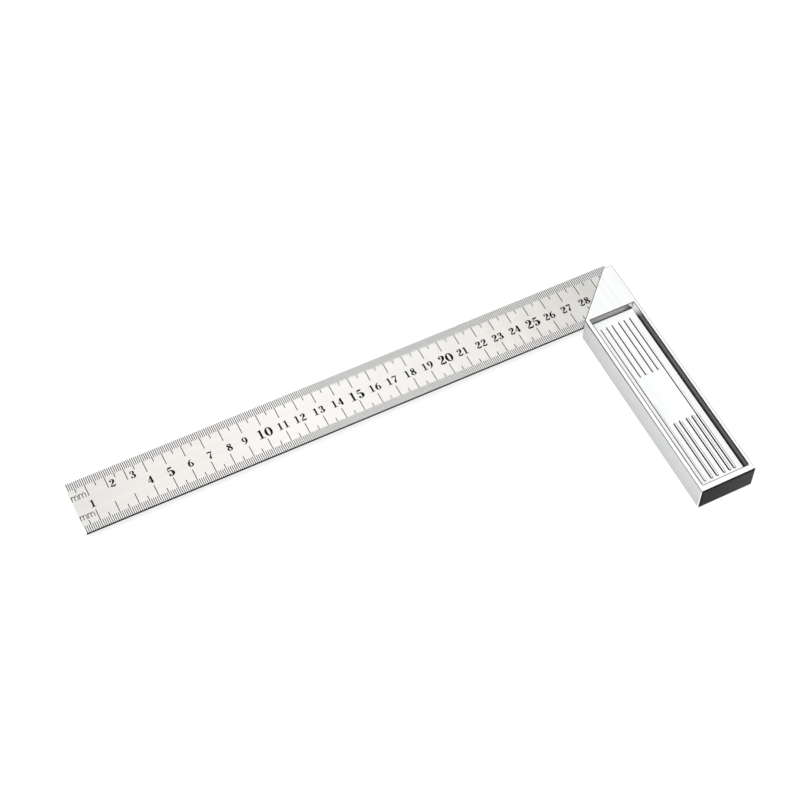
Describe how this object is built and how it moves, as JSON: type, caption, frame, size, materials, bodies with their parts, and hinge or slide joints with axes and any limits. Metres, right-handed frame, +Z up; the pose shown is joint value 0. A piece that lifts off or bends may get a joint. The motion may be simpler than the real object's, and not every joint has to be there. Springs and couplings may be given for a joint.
{
  "type": "carpenter square",
  "caption": "Flat steel rule blade with millimetre marks, held at a right angle in a recessed aluminium stock with 45 degree cheeks, for marking and checking square and mitre cuts.",
  "frame": {"origin": "inside corner of the square, where the blade's inner edge meets the stock's inner face, on the plane the stock rests on", "axes": "+X along the blade from its free end to the stock, +Y from the blade's inner edge to its outer edge, +Z up from the rest plane, out of the scale face"},
  "size_m": [0.3, 0.1432, 0.0148],
  "materials": {
    "blade_steel": "satin, fine grain along the blade, marks etched and filled black",
    "stock_alloy": "cast, ground bright on the cheeks and edges",
    "pin_steel": "ground flush with the lower cheek"
  },
  "bodies": {
    "root": {"blade": "blade_steel", "stock": "stock_alloy", "pin_corner": "pin_steel", "pin_back": "pin_steel", "pin_top": "pin_steel"}
  },
  "joints": []
}
